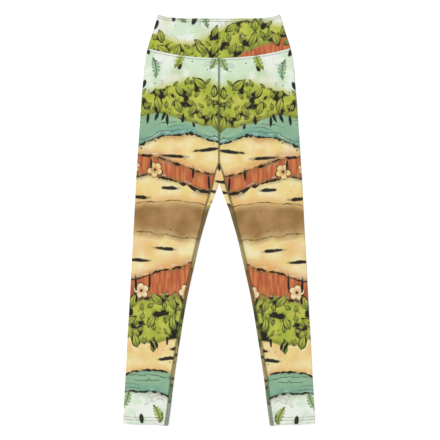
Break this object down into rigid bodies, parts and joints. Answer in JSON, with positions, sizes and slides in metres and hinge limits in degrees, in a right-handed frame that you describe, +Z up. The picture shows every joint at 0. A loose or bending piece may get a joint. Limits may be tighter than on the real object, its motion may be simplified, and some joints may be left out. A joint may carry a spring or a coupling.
{
  "type": "leggings",
  "caption": "Full-length high-waisted leggings of printed stretch knit, laid flat front up, with a wide doubled waistband and a folded crotch gusset.",
  "frame": {"origin": "centre of the garment's outline, on the surface that it lies on", "axes": "+X to the wearer's left, +Y from the hems to the waist, +Z up from the surface, out of the front"},
  "size_m": [0.4438, 0.95, 0.0048],
  "materials": {
    "waistband": "matte printed knit",
    "leg": "matte printed knit",
    "gusset": "matte printed knit"
  },
  "bodies": {
    "root": {"waistband_front": "waistband", "waistband_back": "waistband", "leg_left": "leg", "leg_right": "leg", "gusset": "gusset"}
  },
  "joints": []
}
